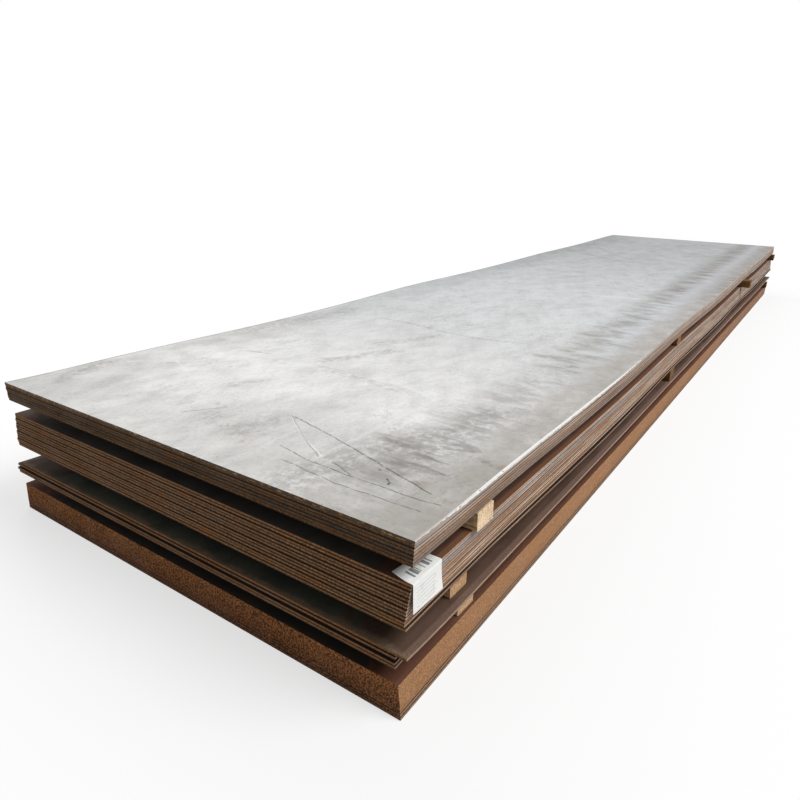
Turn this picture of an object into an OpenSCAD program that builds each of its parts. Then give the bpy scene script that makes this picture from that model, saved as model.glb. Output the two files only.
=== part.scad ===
// Stack of hot-rolled steel plates in four packs, kept apart by timber battens, with a folded paper tag.
// X runs along the plates, Y across them and Z up. The floor is at Z = 0, and the origin lies under the
// middle of the top plate. The near end is at -X, and the long side that carries the tag is at -Y.

/* [Plates] */
// Length of every plate
plate_length = 6000; // [4500:50:8000]
// Width of every plate
plate_width = 1500; // [1000:50:2000]
// Thickness of every plate
plate_thickness = 8; // [5:0.5:12]
// Gap between plates that lie on each other
plate_gap = 0.3; // [0.2:0.05:0.6]

/* [Top pack] */
// Number of plates, the top plate included
top_count = 7; // [2:1:10]
// Hang of the pack in each span between battens, from the near end
top_sag = [12, 7, 5]; // [0:1:20]
// Rise of the near end past the first batten
top_lift = 4; // [0:1:10]
// Extra hang of each plate below the plate above it
top_spread = 0.4; // [0:0.1:1]
// Place of the lowest plate against the uppermost, along and across
top_lean = [2, 0]; // [-20:1:20]
// Turn of the lowest plate against the uppermost, in degrees
top_fan = -0.08; // [-0.3:0.01:0.3]
// Largest stagger of a plate, along and across
top_stagger = [1.5, 1]; // [0:0.5:8]

/* [Second pack] */
// Number of plates
second_count = 13; // [3:1:16]
// Hang of the pack in each span between battens, from the near end
second_sag = [9, 7, 6]; // [0:1:20]
// Extra hang of each plate below the plate above it
second_spread = 0.1; // [0:0.1:1]
// Extra hang of the lowest plate, which parts from the rest
second_low_hang = 8; // [0:1:10]
// Step of the lowest plate out of line with the rest, along and across
second_low_step = [4, -7]; // [-10:1:10]
// Shift of the pack along and across
second_shift = [14, 7]; // [-30:0.5:30]
// Turn of the pack on the battens, in degrees
second_turn = -0.1; // [-0.4:0.01:0.4]
// Place of the lowest plate against the uppermost, along and across
second_lean = [-9, 1]; // [-20:1:20]
// Turn of the lowest plate against the uppermost, in degrees
second_fan = -0.2; // [-0.3:0.01:0.3]
// Largest stagger of a plate, along and across
second_stagger = [3, 3]; // [0:0.5:8]

/* [Third pack] */
// Number of plates
third_count = 4; // [2:1:8]
// Hang of the pack in each span between battens, from the near end
third_sag = [3, 2, 6]; // [0:1:20]
// Rise of the near end past the first batten
third_lift = 7; // [0:1:10]
// Extra hang of each plate below the plate above it
third_spread = 4; // [0:0.5:4]
// Shift of the pack along and across
third_shift = [-2, -3]; // [-30:0.5:30]
// Turn of the pack on the battens, in degrees
third_turn = -0.25; // [-0.4:0.01:0.4]
// Place of the lower plates against the uppermost, across
third_step = 28; // [0:1:40]
// Largest stagger of a plate, along and across
third_stagger = [2, 1.5]; // [0:0.5:8]

/* [Bottom pack] */
// Number of plates, the lowest on the floor
bottom_count = 10; // [2:1:14]
// Shift of the pack along and across
bottom_shift = [6, 15]; // [-30:0.5:30]
// Turn of the pack on the floor, in degrees
bottom_turn = -0.36; // [-0.4:0.01:0.4]
// Place of the lowest plate against the uppermost, along and across
bottom_lean = [-7.5, -4.5]; // [-20:0.5:20]
// Turn of the lowest plate against the uppermost, in degrees
bottom_fan = 0.12; // [-0.3:0.01:0.3]
// Largest stagger of a plate, along and across
bottom_stagger = [0.5, 0.5]; // [0:0.5:8]

/* [Battens] */
// Length of every batten, across the plates
batten_length = 1500; // [900:50:2100]
// Width of every batten
batten_width = 75; // [50:1:100]
// Height of the battens under the top pack
upper_batten_height = 47; // [38:1:75]
// Height of the first and last battens under the second pack
middle_batten_height = 61; // [50:1:75]
// Height of the two inner battens under the second pack
inner_batten_height = 55; // [50:1:75]
// Height of the battens under the third pack
lower_batten_height = 47; // [38:1:75]
// Radius of a batten's long edges
batten_edge = 3; // [1:0.5:6]
// Distance from the near end to the middle of the first battens
near_overhang = 282; // [220:2:400]
// Distance from the middle of the last battens to the far end
far_overhang = 140; // [130:2:400]
// Distance between the first three rows of battens, less on plates too short for it
batten_pitch = 1930; // [1300:10:2000]
// Flat seat on each side of a batten, which its slip and turn stay within
batten_play = 45; // [40:1:60]
// Gap between a batten or the tag and the plate it meets
seat_gap = 0.3; // [0.2:0.05:0.6]

/* [Paper tag] */
// Width of the tag along the plate's edge
tag_width = 105; // [60:1:150]
// Length of the tag that lies on the plate
tag_top = 50; // [30:1:80]
// Length of the tag that hangs down the side
tag_drop = 69; // [30:1:90]
// Thickness of the tag
tag_thickness = 0.4; // [0.2:0.1:1]
// Distance from the plate's near end to the tag
tag_inset = 2; // [0:1:40]

/* [Edge damage] */
// Distances from the near end to the nicks in the top plate's long edge
nick_places = [160, 245, 355]; // [40:1:370]
// Depth of a nick into the edge
nick_depth = 2.5; // [1:0.5:4]
// Radius of a nick
nick_radius = 9; // [6:1:20]
// Height of a nick below the top plate's upper face
nick_height = 4; // [2:0.5:5]

/* [Hidden] */
LEVELS = ["upper", "middle", "lower"];
ROWS = [0 : 3];

// Slip of each batten along the plates, by row from the near end
upper_slip = [0, 20, 10, 0];
middle_slip = [-30, -28, 0, -10];
lower_slip = [8, 0, -12, 12];
// Setback of each batten's end from the top plate's edge at -Y, by row from the near end
upper_reach = [-1, 6, -50, -28];
middle_reach = [38, 7, 45, 50];
lower_reach = [40, 55, 48, -15];
// Turn of each batten on its seat, in degrees, by row from the near end
upper_turn = [0.3, -0.6, 0.5, -0.2];
middle_turn = [-0.4, 0.3, -0.3, 0.4];
lower_turn = [0.2, 0.5, -0.4, 0];

// Angles that spread the plates of a pack without a visible order
STAGGER_ALONG = 137.5;
STAGGER_ACROSS = 98;
// Steps of the curve in each span, in an overhang, round an edge and round a nick
SPAN_STEPS = 10;
TIP_STEPS = 4;
EDGE_STEPS = 4;
NICK_STEPS = 48;
// How quickly a plate leaves its seat and hangs
HANG_POWER = 1.25;
// Least length of the last span, as a share of the distance between the other rows
LAST_SPAN_SHARE = 0.3;
// Overshoot of a cutting shape past the face it cuts
CUT_OVER = 1;

plate_pitch = plate_thickness + plate_gap;
seat_half = batten_width / 2 + batten_play;
last_row = 3;
supported_length = plate_length - near_overhang - far_overhang;
row_pitch = min(batten_pitch, supported_length / (last_row - 1 + LAST_SPAN_SHARE));
rest_x = [
    for (row = ROWS)
        row == last_row ? plate_length / 2 - far_overhang : near_overhang - plate_length / 2 + row * row_pitch
];
tip_length = near_overhang - seat_half;

// Heights from the floor up: each pack rests on its battens, and each batten on the pack below
bottom_top = pack_height(bottom_count);
lower_floor = [for (row = ROWS) bottom_top + seat_gap];
third_seat = [for (row = ROWS) lower_floor[row] + lower_batten_height + seat_gap];
middle_floor = [for (row = ROWS) third_seat[row] + pack_height(third_count) + seat_gap];
second_seat = [for (row = ROWS) middle_floor[row] + middle_height(row) + seat_gap];
second_top = [for (row = ROWS) second_seat[row] + pack_height(second_count)];
upper_floor = [for (row = ROWS) second_top[row] + seat_gap];
top_seat = [for (row = ROWS) upper_floor[row] + upper_batten_height + seat_gap];

// The course of a plate's underside along X: straight over each batten's seat, hanging between seats
stations = concat(
    steps(-plate_length / 2, rest_x[0] - seat_half, TIP_STEPS),
    [for (row = [0 : last_row - 1])
        each steps(rest_x[row] + seat_half, rest_x[row + 1] - seat_half, SPAN_STEPS)],
    steps(rest_x[last_row] + seat_half, plate_length / 2, TIP_STEPS)
);

function batten_name(level, row) = str(level, "_batten_", row + 1);
function pack_height(count) = count * plate_pitch - plate_gap;
function middle_height(row) = row == 0 || row == last_row ? middle_batten_height : inner_batten_height;
function steps(from, to, count) = [for (k = [0 : count]) from + (to - from) * k / count];
function ease(t) = t * t * (3 - 2 * t);
function hang(t) = pow(sin(180 * t), HANG_POWER);
function arc(radius, from, to) =
    [for (angle = steps(from, to, EDGE_STEPS)) radius * [cos(angle), sin(angle)]];

// Row of battens at or before a place along the plates
function row_before(x) = max([for (row = ROWS) x >= rest_x[row] - seat_half ? row : 0]);

// Height of an underside in the span after a row, where t runs from 0 to 1 between the two seats
function in_span(row, t, seat, sag) =
    seat[row] + (seat[row + 1] - seat[row]) * ease(t) - sag[row] * hang(t);

// Height of an underside past the first or last seat, which rises or droops with the distance
function past_seat(height, distance, lift) = height + lift * pow(distance / tip_length, 2);

function underside(x, seat, sag, lift) =
    let (row = row_before(x), start = rest_x[row] + seat_half)
    x < rest_x[0] - seat_half ? past_seat(seat[0], rest_x[0] - seat_half - x, lift) :
    row == last_row ? past_seat(seat[row], max(0, x - start), lift) :
    in_span(row, max(0, x - start) / (rest_x[row + 1] - seat_half - start), seat, sag);

// A hang in every span made deeper by one amount
function deeper(sag, extra) = [for (depth = sag) depth + extra];

// How far down its pack a plate lies, from 0 at the uppermost to 1 at the lowest
function depth_share(below, count) = below / max(1, count - 1);

// Stagger of a plate by its place below the uppermost, which has none; across, it only goes inward from -Y
function stagger(below, count, lean, reach) =
    lean * depth_share(below, count)
    + [reach.x * sin(STAGGER_ALONG * below), reach.y * abs(sin(STAGGER_ACROSS * below))];

// One plate, its outline along X and Z drawn once and carried across its width
module plate(seat, sag, lift) {
    low = [for (x = stations) [x, underside(x, seat, sag, lift)]];
    high = [for (k = [len(low) - 1 : -1 : 0]) low[k] + [0, plate_thickness]];
    rotate([90, 0, 0])
        linear_extrude(plate_width, center = true)
            polygon(concat(low, high));
}

// A plate of a pack that rests on battens: below is its place under the uppermost
module resting_plate(below, count, seat, sag, lift) {
    plate([for (height = seat) height + (count - 1 - below) * plate_pitch], sag, lift);
}

module place(shift, turn) {
    translate([shift.x, shift.y, 0])
        rotate(turn)
            children();
}

module top_pack_plate(below) {
    extra = top_spread * below;
    place(stagger(below, top_count, top_lean, top_stagger), top_fan * depth_share(below, top_count))
        resting_plate(below, top_count, top_seat, deeper(top_sag, extra), top_lift - extra);
}

// Nicks in the upper half of the long edge, within the straight run over the first battens
module edge_nicks() {
    upper_face = top_seat[0] + pack_height(top_count);
    for (distance = nick_places)
        translate([
            distance - plate_length / 2,
            nick_depth - nick_radius - plate_width / 2,
            upper_face - nick_height
        ])
            cylinder(h = nick_height + top_lift + CUT_OVER, r = nick_radius, $fn = NICK_STEPS);
}

module top_plate() {
    color("#c4c6c6")
        difference() {
            top_pack_plate(0);
            edge_nicks();
        }
}

module top_pack() {
    color("#8a6f58")
        for (below = [1 : top_count - 1])
            top_pack_plate(below);
}

module second_pack_plate(below) {
    lowest = below == second_count - 1;
    extra = second_spread * below;
    sag = deeper(second_sag, extra + (lowest ? second_low_hang : 0));
    step = stagger(below, second_count, second_lean, second_stagger);
    place(step + (lowest ? second_low_step : [0, 0]), second_fan * depth_share(below, second_count))
        resting_plate(below, second_count, second_seat, sag, -extra);
}

module second_pack() {
    color("#7d5d45")
        place(second_shift, second_turn)
            for (below = [0 : second_count - 1])
                second_pack_plate(below);
}

module third_pack_plate(below) {
    extra = third_spread * below;
    step = stagger(below, third_count, [0, 0], third_stagger);
    place(step + [0, below == 0 ? 0 : third_step], 0)
        resting_plate(below, third_count, third_seat, deeper(third_sag, extra), third_lift - extra);
}

module third_pack() {
    color("#6a564a")
        place(third_shift, third_turn)
            for (below = [0 : third_count - 1])
                third_pack_plate(below);
}

module bottom_pack_plate(below) {
    step = stagger(below, bottom_count, bottom_lean, bottom_stagger);
    place(step, bottom_fan * depth_share(below, bottom_count))
        translate([-plate_length / 2, -plate_width / 2, (bottom_count - 1 - below) * plate_pitch])
            cube([plate_length, plate_width, plate_thickness]);
}

module bottom_pack() {
    color("#8c5f3c")
        place(bottom_shift, bottom_turn)
            for (below = [0 : bottom_count - 1])
                bottom_pack_plate(below);
}

// Sawn section of a batten with eased long edges, standing on its floor
module batten_section(height) {
    dx = batten_width / 2 - batten_edge;
    corner = [dx, height - batten_edge];
    polygon(concat(
        [for (p = arc(batten_edge, 0, 90)) corner + p],
        [for (p = arc(batten_edge, 90, 180)) [-dx, corner.y] + p],
        [for (p = arc(batten_edge, 180, 270)) [-dx, batten_edge] + p],
        [for (p = arc(batten_edge, 270, 360)) [dx, batten_edge] + p]
    ));
}

// A batten laid from the plates' edge at -Y, whatever its length
module batten(row, slip, reach, turn, floor_height, height) {
    middle_y = reach[row] + (batten_length - plate_width) / 2;
    color("#dcc08a")
        translate([rest_x[row] + slip[row], middle_y, floor_height[row]])
            rotate(turn[row])
                rotate([90, 0, 0])
                    linear_extrude(batten_length, center = true)
                        batten_section(height);
}

module upper_batten(row) {
    batten(row, upper_slip, upper_reach, upper_turn, upper_floor, upper_batten_height);
}

module middle_batten(row) {
    batten(row, middle_slip, middle_reach, middle_turn, middle_floor, middle_height(row));
}

module lower_batten(row) {
    batten(row, lower_slip, lower_reach, lower_turn, lower_floor, lower_batten_height);
}

// Section of the tag across the plate's edge: flat on the plate, folded round the edge and hanging
module tag_section() {
    fold = 3 * seat_gap;
    outer = fold + tag_thickness;
    polygon(concat(
        [[-tag_top, outer]],
        [for (k = [EDGE_STEPS : -1 : 0]) arc(outer, 0, 90)[k]],
        [[outer, -tag_drop], [fold, -tag_drop]],
        arc(fold, 0, 90),
        [[-tag_top, fold]]
    ));
}

module paper_tag() {
    fold_inset = 2 * seat_gap;
    color("#f2f2ee")
        place(second_shift, second_turn)
            translate([
                tag_inset - plate_length / 2,
                fold_inset - plate_width / 2,
                second_top[0] - fold_inset
            ])
                rotate([90, 0, -90])
                    mirror([0, 0, 1])
                        linear_extrude(tag_width)
                            tag_section();
}

top_plate();
top_pack();
second_pack();
third_pack();
bottom_pack();
for (row = ROWS) {
    upper_batten(row);
    middle_batten(row);
    lower_batten(row);
}
paper_tag();
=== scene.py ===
"""Looks of a stack of steel plates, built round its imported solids.

Lengths are in metres. X runs along the plates, with the near end at -X, Y runs across them, and the long side
that carries the paper tag is at -Y. Finishes give their colours as sRGB values from 0 to 255.
"""

import logging
import math
import random
from dataclasses import dataclass
from enum import Enum
from statistics import linear_regression

import bmesh
import bpy
from mathutils import Matrix, Quaternion, Vector, noise


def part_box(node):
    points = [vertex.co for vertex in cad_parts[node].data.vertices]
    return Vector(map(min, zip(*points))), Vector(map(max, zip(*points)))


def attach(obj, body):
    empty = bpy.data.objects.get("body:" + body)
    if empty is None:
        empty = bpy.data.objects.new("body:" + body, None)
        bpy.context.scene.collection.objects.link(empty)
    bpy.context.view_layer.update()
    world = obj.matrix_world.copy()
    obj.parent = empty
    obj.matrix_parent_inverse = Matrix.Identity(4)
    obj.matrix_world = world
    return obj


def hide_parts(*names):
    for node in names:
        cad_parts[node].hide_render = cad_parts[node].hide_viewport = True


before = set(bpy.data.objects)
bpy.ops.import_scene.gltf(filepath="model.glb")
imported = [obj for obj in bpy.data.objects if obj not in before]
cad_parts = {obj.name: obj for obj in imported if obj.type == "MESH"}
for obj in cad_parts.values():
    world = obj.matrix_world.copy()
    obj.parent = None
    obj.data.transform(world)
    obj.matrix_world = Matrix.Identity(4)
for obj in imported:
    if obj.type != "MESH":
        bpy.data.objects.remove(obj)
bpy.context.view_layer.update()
BODY = "root"
HALF_LENGTH = 3.0
HALF_WIDTH = 0.75
# A share of earlier marks too small to move a stroke, which makes the stroke wait for them
WAIT = 1e-7
# Sockets of a mix node that are for colours, by number because their names repeat
MIX_FIRST, MIX_SECOND, MIX_RESULT = 6, 7, 2
# Lengths under this count as none
TINY = 1e-4
log = logging.getLogger("plate_stack")

Colour = tuple[float, float, float]
Stops = tuple[tuple[float, Colour], ...]
Point = tuple[float, float]
Place = tuple[float, float, float]
Piece = bpy.types.Object
Material = bpy.types.Material
Socket = bpy.types.NodeSocket
Value = Socket | float | tuple[float, ...]
Inputs = dict[int | str, Value]


class Level(Enum):
    """A level of battens, by the pack that lies on it."""

    UPPER = "upper"
    MIDDLE = "middle"
    LOWER = "lower"


def linear(colour: Colour) -> tuple[float, float, float, float]:
    """Turn an sRGB colour into the linear one that a socket takes.

    Args:
        colour: Red, green and blue from 0 to 255.

    Returns:
        Linear red, green and blue, with full alpha.
    """
    parts = [c / 255 for c in colour]
    lin = [c / 12.92 if c <= 0.04045 else ((c + 0.055) / 1.055) ** 2.4 for c in parts]
    return (lin[0], lin[1], lin[2], 1.0)


def tint(colour: Value) -> Value:
    """Make an sRGB colour linear and leave a socket as it is."""
    return colour if isinstance(colour, Socket) else linear(colour)


def select_only(piece: Piece) -> None:
    """Select one object and make it the active one.

    Args:
        piece: The object that the next operators act on.
    """
    bpy.ops.object.select_all(action="DESELECT")
    piece.select_set(True)
    bpy.context.view_layer.objects.active = piece


def finish_piece(piece: Piece, node: str, material: Material) -> None:
    """Dress a piece and put it in its CAD node's place.

    Args:
        piece: The finished piece.
        node: The CAD node that it stands for.
        material: The finish of the piece.
    """
    piece.data.materials.clear()
    piece.data.materials.append(material)
    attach(piece, BODY)
    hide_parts(node)
    log.info("%s stands for %s with %d faces", piece.name, node, len(piece.data.polygons))


class Graph:
    """The node tree of a material or of the world, grown from its coordinates to its shader."""

    def __init__(self, owner: Material | bpy.types.World) -> None:
        """Start from an empty tree.

        Args:
            owner: The material or the world.
        """
        self.owner = owner
        owner.use_nodes = True
        self.tree = owner.node_tree
        self.tree.nodes.clear()

    def put(self, kind: str, values: Inputs | None = None, **settings: object) -> bpy.types.Node:
        """Add a node.

        Args:
            kind: The node's type.
            values: A socket or a constant for each input, by name or number.
            settings: The node's own properties.

        Returns:
            The node.
        """
        node = self.tree.nodes.new(kind)
        for key, setting in settings.items():
            setattr(node, key, setting)
        for key, value in (values or {}).items():
            if isinstance(value, Socket):
                self.tree.links.new(value, node.inputs[key])
            else:
                node.inputs[key].default_value = value
        return node

    def math(self, operation: str, *values: Value) -> Socket:
        """Add a math node on one to three values and return its output."""
        return self.put("ShaderNodeMath", dict(enumerate(values)), operation=operation).outputs[0]

    def times(self, first: Value, second: Value) -> Socket:
        """Multiply two numbers."""
        return self.math("MULTIPLY", first, second)

    def left(self, share: Socket) -> Socket:
        """Return what a share leaves of one."""
        return self.math("SUBTRACT", 1.0, share)

    def vector(self, operation: str, *values: Value) -> Socket:
        """Add a vector math node and return its vector."""
        return self.put("ShaderNodeVectorMath", dict(enumerate(values)), operation=operation).outputs[0]

    def length(self, vector: Socket) -> Socket:
        """Return the length of a vector."""
        return self.put("ShaderNodeVectorMath", {0: vector}, operation="LENGTH").outputs["Value"]

    def chance(self, key: Socket) -> Socket:
        """Draw a number from 0 to 1 for each key."""
        return self.put("ShaderNodeTexWhiteNoise", {"W": key}, noise_dimensions="1D").outputs["Value"]

    def place(self) -> Socket:
        """Return the point's place on the object, in metres."""
        return self.put("ShaderNodeTexCoord").outputs["Object"]

    def split(self, vector: Socket) -> tuple[Socket, Socket, Socket]:
        """Split a vector into its three parts."""
        node = self.put("ShaderNodeSeparateXYZ", {0: vector})
        return node.outputs[0], node.outputs[1], node.outputs[2]

    def join(self, x: Value, y: Value, z: Value = 0.0) -> Socket:
        """Join three parts into a vector."""
        return self.put("ShaderNodeCombineXYZ", {0: x, 1: y, 2: z}).outputs[0]

    def scaled(self, vector: Socket, scale: Place) -> Socket:
        """Stretch a vector by one factor for each axis."""
        return self.vector("MULTIPLY", vector, scale)

    def facing(self) -> tuple[Socket, Socket]:
        """Tell level faces and end faces from the long sides.

        Returns:
            Masks of the level faces and of the end faces.
        """
        normal = self.put("ShaderNodeNewGeometry").outputs["True Normal"]
        nx, _, nz = self.split(normal)
        return self.rise(self.math("ABSOLUTE", nz), 0.5, 0.6), self.rise(self.math("ABSOLUTE", nx), 0.5, 0.6)

    def attribute(self, name: str, output: str = "Fac") -> Socket:
        """Read one of the piece's own attributes."""
        return self.put("ShaderNodeAttribute", attribute_name=name).outputs[output]

    def noise(self, vector: Socket, scale: float, detail: float = 4.0, roughness: float = 0.55) -> Socket:
        """Return cloudy noise from 0 to 1 with a number of cells per metre."""
        values = {"Vector": vector, "Scale": scale, "Detail": detail, "Roughness": roughness}
        return self.put("ShaderNodeTexNoise", values).outputs[0]

    def rise(self, value: Value, low: Value, high: Value, start: Value = 0.0, end: Value = 1.0) -> Socket:
        """Ease from one value to another while the input goes from low to high.

        Args:
            value: The input.
            low: Where the rise starts.
            high: Where it ends.
            start: The output before the rise.
            end: The output after it.

        Returns:
            The eased output.
        """
        values = {0: value, 1: low, 2: high, 3: start, 4: end}
        return self.put("ShaderNodeMapRange", values, interpolation_type="SMOOTHSTEP").outputs[0]

    def mix(self, factor: Value, first: Value, second: Value) -> Socket:
        """Mix two colours.

        Args:
            factor: The share of the second colour.
            first: A socket or an sRGB colour.
            second: A socket or an sRGB colour.

        Returns:
            The mixed colour.
        """
        values = {0: factor, MIX_FIRST: tint(first), MIX_SECOND: tint(second)}
        return self.put("ShaderNodeMix", values, data_type="RGBA").outputs[MIX_RESULT]

    def shade(self, colour: Value, factor: Socket) -> Socket:
        """Multiply a colour, a socket or an sRGB one, by a number."""
        start = colour if isinstance(colour, Socket) else linear(colour)[:3]
        return self.put("ShaderNodeVectorMath", {0: start, "Scale": factor}, operation="SCALE").outputs[0]

    def stops(self, value: Socket, stops: Stops) -> Socket:
        """Run a number from 0 to 1 through a row of colours.

        Args:
            value: The number.
            stops: Places and colours, in order.

        Returns:
            The colour at that place.
        """
        node = self.put("ShaderNodeValToRGB", {0: value})
        ramp = node.color_ramp
        while len(ramp.elements) < len(stops):
            ramp.elements.new(0.5)
        for element, (place, colour) in zip(ramp.elements, stops):
            element.position = place
            element.color = linear(colour)
        return node.outputs[0]

    def bump(self, height: Socket, strength: float, depth: float) -> Socket:
        """Turn a height into a bumped normal."""
        values = {"Height": height, "Strength": strength, "Distance": depth}
        return self.put("ShaderNodeBump", values).outputs[0]

    def surface(self, colour: Socket, roughness: Socket, normal: Socket, specular: float) -> Material:
        """Close the tree with a principled shader.

        Args:
            colour: The base colour.
            roughness: The roughness.
            normal: The bumped normal.
            specular: The constant specular level.

        Returns:
            The finished material.
        """
        values: Inputs = {"Base Color": colour, "Roughness": roughness, "Normal": normal}
        shader = self.put("ShaderNodeBsdfPrincipled", values)
        shader.inputs["Specular IOR Level"].default_value = specular
        self.put("ShaderNodeOutputMaterial", {0: shader.outputs[0]})
        return self.owner


def stroke_group() -> bpy.types.NodeTree:
    """Make the node group that adds one straight stroke with soft edges to the marks drawn before it.

    Each stroke waits for the one before it, which keeps the shader's working store small.

    Returns:
        The group, with a point, two ends, a core, a rim, a strength and the marks so far as inputs.
    """
    tree = bpy.data.node_groups.new("stroke", "ShaderNodeTree")
    for name in ("Point", "Start", "End"):
        tree.interface.new_socket(name, in_out="INPUT", socket_type="NodeSocketVector")
    for name in ("Core", "Rim", "Strength", "Before"):
        tree.interface.new_socket(name, in_out="INPUT", socket_type="NodeSocketFloat")
    tree.interface.new_socket("Marks", in_out="OUTPUT", socket_type="NodeSocketFloat")
    given = tree.nodes.new("NodeGroupInput").outputs
    result = tree.nodes.new("NodeGroupOutput").inputs

    def add(kind: str, operation: str, *values: Value) -> bpy.types.Node:
        """Add a math node on sockets and constants."""
        node = tree.nodes.new(kind)
        node.operation = operation
        for number, value in enumerate(values):
            socket = node.inputs["Scale" if operation == "SCALE" and number == 1 else number]
            if isinstance(value, Socket):
                tree.links.new(value, socket)
            else:
                socket.default_value = value
        return node

    vector, number = "ShaderNodeVectorMath", "ShaderNodeMath"
    wait = add(number, "MULTIPLY", given["Before"], WAIT).outputs[0]
    point = add(vector, "ADD", given["Point"], wait).outputs[0]
    away = add(vector, "SUBTRACT", point, given["Start"]).outputs[0]
    run = add(vector, "SUBTRACT", given["End"], given["Start"]).outputs[0]
    along = add(vector, "DOT_PRODUCT", away, run).outputs["Value"]
    whole = add(vector, "DOT_PRODUCT", run, run).outputs["Value"]
    share = add(number, "DIVIDE", along, whole)
    share.use_clamp = True
    gap = add(vector, "SUBTRACT", away, add(vector, "SCALE", run, share.outputs[0]).outputs[0]).outputs[0]
    distance = add(vector, "LENGTH", gap).outputs["Value"]
    fade = tree.nodes.new("ShaderNodeMapRange")
    fade.interpolation_type = "SMOOTHSTEP"
    fade.inputs["To Max"].default_value = 0.0
    for index, socket in enumerate((distance, given["Core"], given["Rim"], given["Strength"])):
        tree.links.new(socket, fade.inputs[index])
    tree.links.new(add(number, "MAXIMUM", given["Before"], fade.outputs[0]).outputs[0], result["Marks"])
    return tree


@dataclass(frozen=True)
class Mark:
    """A line of strokes on the top plate, such as a scratch, a smear or a spot."""

    path: tuple[Point, ...]
    core: float
    rim: float
    strength: float


SCRATCHES: tuple[Mark, ...] = (
    Mark(((-2.678, -0.143), (-2.723, -0.324), (-2.777, -0.506), (-2.827, -0.675)), 0.0004, 0.0032, 0.8),
    Mark(
        ((-2.836, -0.246), (-2.856, -0.354), (-2.863, -0.489), (-2.863, -0.670), (-2.857, -0.715)),
        core=0.0004,
        rim=0.0030,
        strength=0.68,
    ),
    Mark(((-2.890, -0.303), (-2.908, -0.481), (-2.903, -0.696)), 0.0004, 0.0030, 0.68),
    Mark(((-2.675, -0.130), (-2.758, -0.248), (-2.828, -0.364)), 0.0004, 0.0030, 0.5),
    Mark(((-2.831, -0.408), (-2.858, -0.485)), 0.0005, 0.0035, 0.6),
    Mark(((-2.826, -0.558), (-2.836, -0.576), (-2.846, -0.577)), 0.0010, 0.0040, 0.9),
    Mark(((-2.798, -0.518), (-2.800, -0.520)), 0.0020, 0.0060, 0.95),
    Mark(((-2.774, -0.500), (-2.770, -0.490)), 0.0010, 0.0040, 0.6),
    Mark(((-2.838, 0.133), (-2.792, 0.097), (-2.737, 0.062)), 0.0005, 0.006, 0.35),
    Mark(((-2.472, 0.348), (-2.473, 0.350)), 0.0015, 0.008, 0.4),
    Mark(((-2.560, 0.533), (-2.572, 0.549)), 0.0010, 0.006, 0.45),
    Mark(((-2.293, 0.465), (-2.274, 0.374)), 0.0010, 0.007, 0.4),
    Mark(
        ((-1.529, 0.396), (-1.543, 0.215), (-1.579, 0.033), (-1.583, -0.132), (-1.554, -0.265)),
        core=0.001,
        rim=0.018,
        strength=0.2,
    ),
    Mark(((1.394, 0.560), (1.214, 0.293), (1.087, 0.094), (1.128, -0.001)), 0.002, 0.030, 0.24),
    Mark(((1.958, 0.575), (1.474, 0.277), (1.210, 0.037)), 0.002, 0.030, 0.15),
    Mark(((0.175, 0.301), (0.198, 0.120)), 0.002, 0.020, 0.25),
)
SMEARS: tuple[Mark, ...] = (
    Mark(((-2.229, 0.158), (-2.108, 0.111), (-1.940, 0.039)), 0.002, 0.050, 0.40),
    Mark(((-1.898, 0.157), (-1.783, 0.086), (-1.649, 0.037)), 0.002, 0.045, 0.32),
    Mark(((-2.597, 0.194), (-2.501, 0.153)), 0.002, 0.030, 0.35),
    Mark(((-2.890, 0.640), (-2.805, 0.690), (-2.690, 0.700)), 0.004, 0.050, 0.50),
    Mark(((-2.838, -0.110), (-2.720, -0.118)), 0.004, 0.080, 0.32),
    Mark(((-2.807, -0.633), (-2.800, -0.630)), 0.004, 0.030, 0.60),
    Mark(((-2.085, 0.696), (-1.894, 0.686), (-1.500, 0.633)), 0.010, 0.110, 0.34),
    Mark(((-2.950, -0.400), (-2.780, -0.430), (-2.590, -0.500)), 0.010, 0.120, 0.42),
    Mark(((-2.740, -0.550), (-2.549, -0.570), (-2.338, -0.570)), 0.010, 0.110, 0.42),
    Mark(((-2.319, -0.254), (-2.310, -0.170), (-2.292, -0.074), (-2.288, 0.104)), 0.004, 0.040, 0.30),
    Mark(((-2.621, -0.660), (-2.627, -0.745)), 0.002, 0.020, 0.60),
    Mark(((-1.284, 0.193), (-1.006, 0.070), (-1.164, -0.167), (-1.440, 0.037)), 0.002, 0.070, 0.14),
)
PALE_LINES: tuple[Mark, ...] = (
    Mark(((-2.311, 0.274), (-2.282, 0.020), (-2.272, -0.221), (-2.302, -0.339)), 0.001, 0.014, 0.4),
    Mark(((-2.827, -0.366), (-2.540, -0.373), (-2.354, -0.372)), 0.001, 0.012, 0.32),
    Mark(((-2.847, -0.211), (-2.699, -0.216), (-2.524, -0.226)), 0.001, 0.010, 0.22),
    Mark(((-0.518, 0.509), (-0.439, 0.153), (-0.395, -0.190), (-0.274, -0.520)), 0.002, 0.022, 0.24),
    Mark(((2.621, 0.392), (2.599, 0.038)), 0.002, 0.030, 0.2),
    Mark(((-2.536, 0.549), (-2.588, 0.427)), 0.0005, 0.006, 0.5),
    Mark(((-2.685, -0.140), (-2.764, -0.256), (-2.822, -0.370)), 0.0005, 0.004, 0.75),
)
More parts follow.
